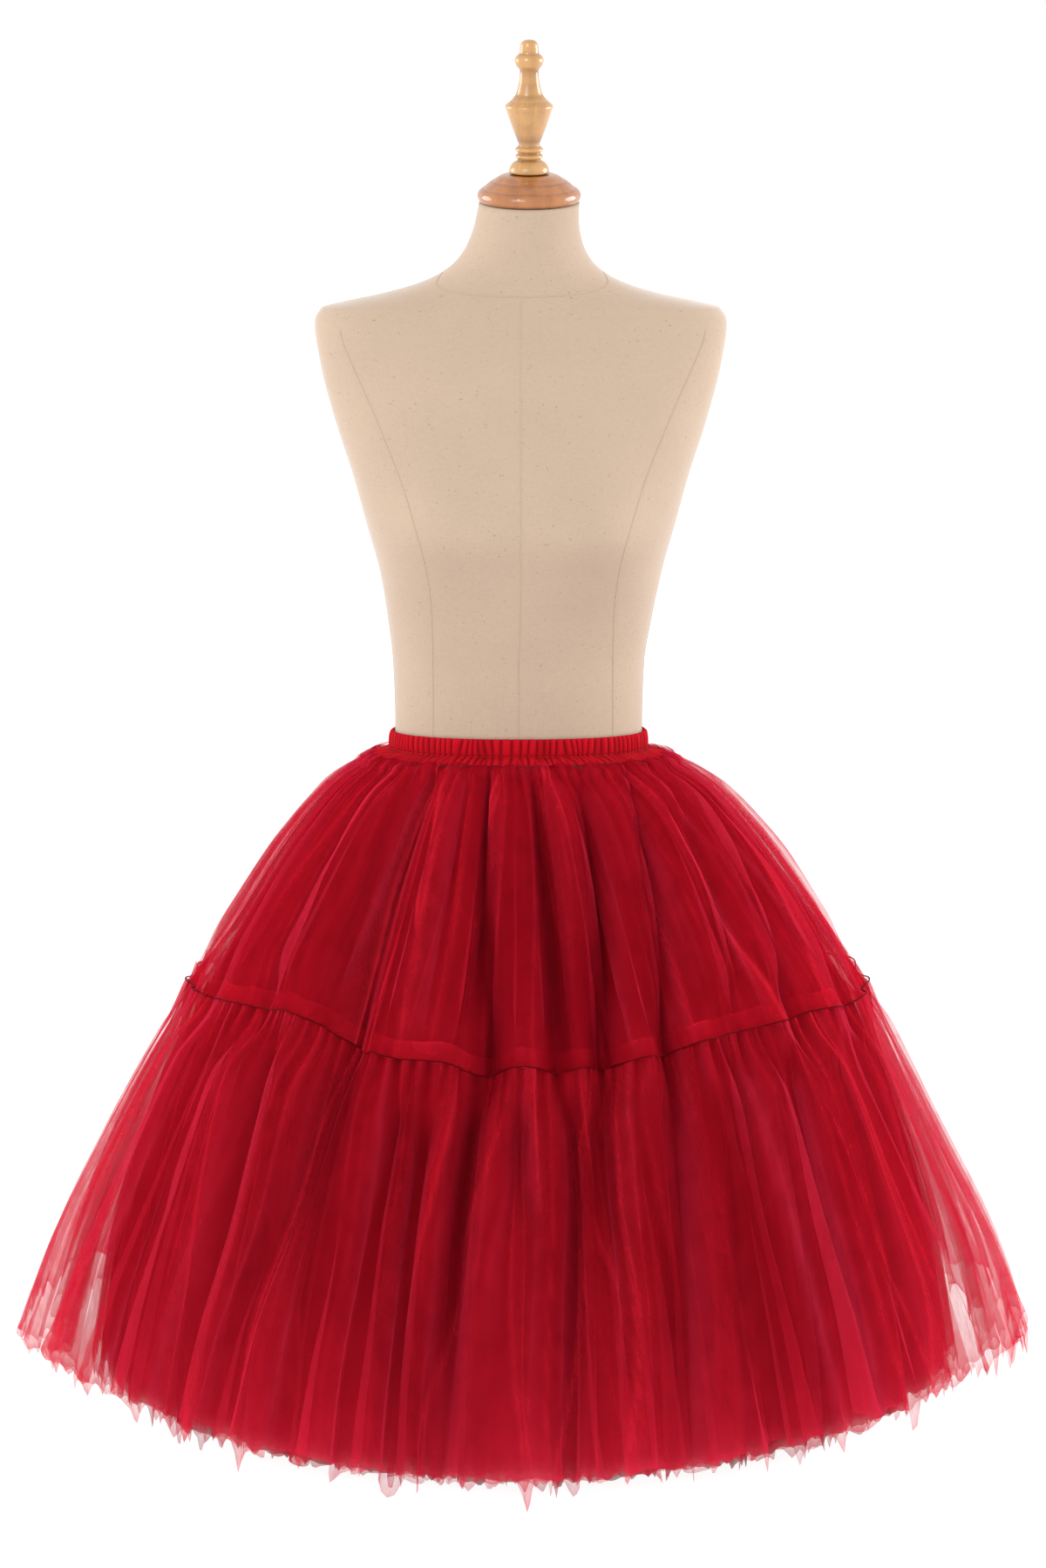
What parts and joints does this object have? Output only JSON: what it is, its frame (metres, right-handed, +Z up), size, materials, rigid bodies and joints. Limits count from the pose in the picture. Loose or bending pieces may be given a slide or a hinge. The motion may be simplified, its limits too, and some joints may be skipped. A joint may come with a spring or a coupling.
{
  "type": "tulle skirt on a dress form",
  "caption": "Full gathered tulle skirt with an elastic waistband and a tier seam, on a limbless linen dress form with a turned wooden neck cap and a short round stand.",
  "frame": {"origin": "centre of the stand's flat underside, on the floor", "axes": "+Z up along the pole, -Y towards the front of the skirt and form, +X to the viewer's right in the front view"},
  "size_m": [0.9552, 0.8969, 1.227],
  "materials": {
    "steel": "satin",
    "dark_wood": "gloss lacquer",
    "pale_wood": "gloss lacquer",
    "linen": "matt linen",
    "band_cloth": "matt woven cloth",
    "tulle": "fine sheer net"
  },
  "bodies": {
    "root": {"stand_base": "steel", "pole": "steel", "torso_plate": "dark_wood", "torso": "linen", "neck_cap": "dark_wood", "finial": "pale_wood", "waistband": "band_cloth", "yoke": "band_cloth", "upper_tier_outer_front": "tulle", "upper_tier_outer_back": "tulle", "upper_tier_inner_front": "tulle", "upper_tier_inner_back": "tulle", "tier_seam_allowance": "tulle", "lower_tier_outer_front": "tulle", "lower_tier_outer_back": "tulle", "lower_tier_inner_front": "tulle", "lower_tier_inner_back": "tulle"}
  },
  "joints": []
}
